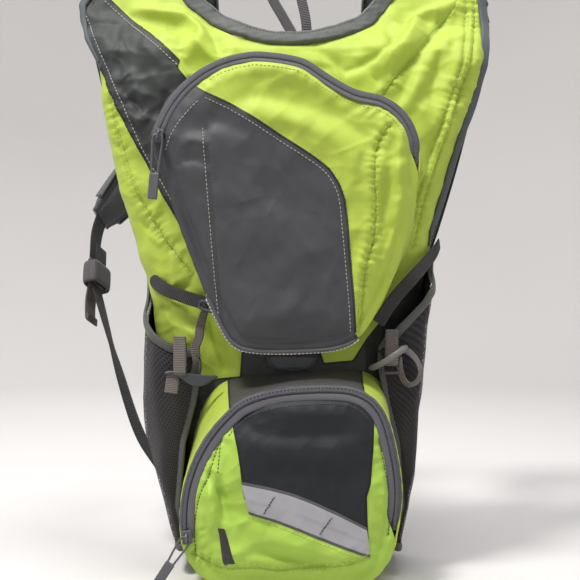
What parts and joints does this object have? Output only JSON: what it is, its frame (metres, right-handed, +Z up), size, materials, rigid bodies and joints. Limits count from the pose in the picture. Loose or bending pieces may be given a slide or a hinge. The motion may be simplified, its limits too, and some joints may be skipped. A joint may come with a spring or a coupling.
{
  "type": "hydration pack",
  "caption": "Slim hydration backpack with two zipped front pockets, mesh side pockets, compression hooks, padded shoulder straps, a sternum strap and a lift-out water reservoir.",
  "frame": {"origin": "on the floor under the centre of the pack's bounding box, straps included", "axes": "+Z up, -Y out of the zipped front pockets, +Y towards the wearer, +X to the right as seen from the front"},
  "size_m": [0.3982, 0.3068, 0.5787],
  "materials": {
    "lime_fabric": "bright woven ripstop",
    "grey_fabric": "woven ripstop",
    "grey_tape": "folded woven tape",
    "mesh_fabric": "open knitted mesh",
    "webbing": "ribbed webbing",
    "foam_mesh": "foam under spacer mesh",
    "reflective": "reflective tape",
    "grey_plastic": "moulded",
    "zip_pull": "moulded",
    "bag_film": "soft film",
    "blue_plastic": "moulded"
  },
  "bodies": {
    "pack": {"main_shell": "lime_fabric", "bottom_panel": "grey_fabric", "back_panel": "foam_mesh", "back_pad_upper": "foam_mesh", "back_pad_middle": "foam_mesh", "back_pad_lumbar": "foam_mesh", "neck_binding": "grey_tape", "top_pocket_gusset": "lime_fabric", "top_pocket_front": "grey_fabric", "top_zip_tape": "grey_tape", "lower_pocket_gusset": "lime_fabric", "lower_pocket_toe": "lime_fabric", "lower_zip_tape": "grey_tape", "badge": "grey_plastic", "mesh_pocket_left": "mesh_fabric", "mesh_binding_left": "grey_tape", "compression_strap_left": "webbing", "hook_loop_left": "webbing", "shoulder_strap_left": "foam_mesh", "strap_tab_left": "webbing", "strap_webbing_left": "webbing", "sternum_rail_left": "zip_pull", "mesh_pocket_right": "mesh_fabric", "mesh_binding_right": "grey_tape", "compression_strap_right": "webbing", "hook_loop_right": "webbing", "shoulder_strap_right": "foam_mesh", "strap_tab_right": "webbing", "strap_webbing_right": "webbing", "sternum_rail_right": "zip_pull"},
    "top_flap": {"top_pocket_flap": "lime_fabric"},
    "lower_flap": {"lower_pocket_flap": "grey_fabric", "reflective_band": "reflective"},
    "top_slider": {"top_zip_slider": "zip_pull"},
    "top_pull": {"top_zip_pull": "zip_pull"},
    "lower_slider": {"lower_zip_slider": "zip_pull"},
    "lower_pull": {"lower_zip_pull": "zip_pull"},
    "hook_left": {"strap_hook_left": "grey_plastic"},
    "hook_right": {"strap_hook_right": "grey_plastic"},
    "ladder_left": {"ladder_lock_left": "grey_plastic", "webbing_tail_left": "webbing"},
    "ladder_right": {"ladder_lock_right": "grey_plastic", "webbing_tail_right": "webbing"},
    "sternum": {"sternum_clip_left": "grey_plastic", "sternum_clip_right": "grey_plastic", "sternum_webbing_left": "webbing", "sternum_webbing_right": "webbing", "buckle_socket": "grey_plastic"},
    "plug": {"buckle_plug": "grey_plastic"},
    "arm_upper": {"buckle_arm_upper": "grey_plastic"},
    "arm_lower": {"buckle_arm_lower": "grey_plastic"},
    "haul": {"haul_loop": "webbing"},
    "reservoir": {"reservoir_bag": "bag_film", "fill_port_ring": "blue_plastic", "reservoir_hanger": "blue_plastic", "outlet_port": "blue_plastic"},
    "cap": {"reservoir_cap": "blue_plastic"},
    "button": {"release_button": "grey_plastic"}
  },
  "joints": [
    {"name": "top_flap_open", "type": "hinge", "parent": "pack", "child": "top_flap", "pos_m": [0.01215, -0.13555, 0.352], "axis": [1, 0, 0], "range_deg": [0, 70]},
    {"name": "top_zip_travel", "type": "hinge", "parent": "pack", "child": "top_slider", "pos_m": [-0.01285, -0.12205, 0.354], "axis": [0, 1, 0], "range_deg": [0, 72]},
    {"name": "top_pull_swing", "type": "hinge", "parent": "top_slider", "child": "top_pull", "pos_m": [-0.09761, -0.12985, 0.37671], "axis": [-0.9962, 0, 0.0872], "range_deg": [0, 140]},
    {"name": "lower_flap_open", "type": "hinge", "parent": "pack", "child": "lower_flap", "pos_m": [0.01215, -0.15355, 0.027], "axis": [1, 0, 0], "range_deg": [0, 75]},
    {"name": "lower_zip_travel", "type": "hinge", "parent": "pack", "child": "lower_slider", "pos_m": [0.04215, -0.14005, 0.06], "axis": [0, 1, 0], "range_deg": [0, 58]},
    {"name": "lower_pull_swing", "type": "hinge", "parent": "lower_slider", "child": "lower_pull", "pos_m": [-0.07175, -0.14785, 0.04602], "axis": [-0.8387, 0, 0.5446], "range_deg": [0, 140]},
    {"name": "hook_left_swing", "type": "hinge", "parent": "pack", "child": "hook_left", "pos_m": [-0.08185, -0.10505, 0.178], "axis": [1, 0, 0], "range_deg": [-25, 30]},
    {"name": "hook_right_swing", "type": "hinge", "parent": "pack", "child": "hook_right", "pos_m": [0.09915, -0.10505, 0.186], "axis": [1, 0, 0], "range_deg": [-25, 30]},
    {"name": "ladder_left_tilt", "type": "hinge", "parent": "pack", "child": "ladder_left", "pos_m": [-0.18525, 0.06081, 0.273], "axis": [0.3757, 0.8204, -0.431], "range_deg": [0, 14]},
    {"name": "ladder_right_tilt", "type": "hinge", "parent": "pack", "child": "ladder_right", "pos_m": [0.14355, 0.06081, 0.273], "axis": [0.463, -0.787, 0.4076], "range_deg": [0, 14]},
    {"name": "sternum_height", "type": "slide", "parent": "pack", "child": "sternum", "axis": [0, 0, 1], "range_m": [-0.02, 0.02]},
    {"name": "buckle_release", "type": "slide", "parent": "sternum", "child": "plug", "axis": [-1, 0, 0], "range_m": [0, 0.025]},
    {"name": "arm_upper_press", "type": "hinge", "parent": "plug", "child": "arm_upper", "pos_m": [0.01235, 0.14695, 0.4732], "axis": [0, 1, 0], "range_deg": [0, 4], "stiffness_Nm_per_rad": 0.02},
    {"name": "arm_lower_press", "type": "hinge", "parent": "plug", "child": "arm_lower", "pos_m": [0.01235, 0.14695, 0.4588], "axis": [0, -1, 0], "range_deg": [0, 4], "stiffness_Nm_per_rad": 0.02},
    {"name": "haul_loop_swing", "type": "hinge", "parent": "pack", "child": "haul", "pos_m": [0.02115, -0.01505, 0.487], "axis": [1, 0, 0], "range_deg": [-75, 0]},
    {"name": "reservoir_lift", "type": "slide", "parent": "pack", "child": "reservoir", "axis": [0, 0, 1], "range_m": [0, 0.49]},
    {"name": "cap_turn", "type": "hinge", "parent": "reservoir", "child": "cap", "pos_m": [0.01215, -0.05805, 0.285], "axis": [0, -1, 0], "range_deg": [0, 90]},
    {"name": "button_press", "type": "slide", "parent": "reservoir", "child": "button", "axis": [0, 1, 0], "range_m": [0, 0.0015], "stiffness_N_per_m": 800}
  ]
}
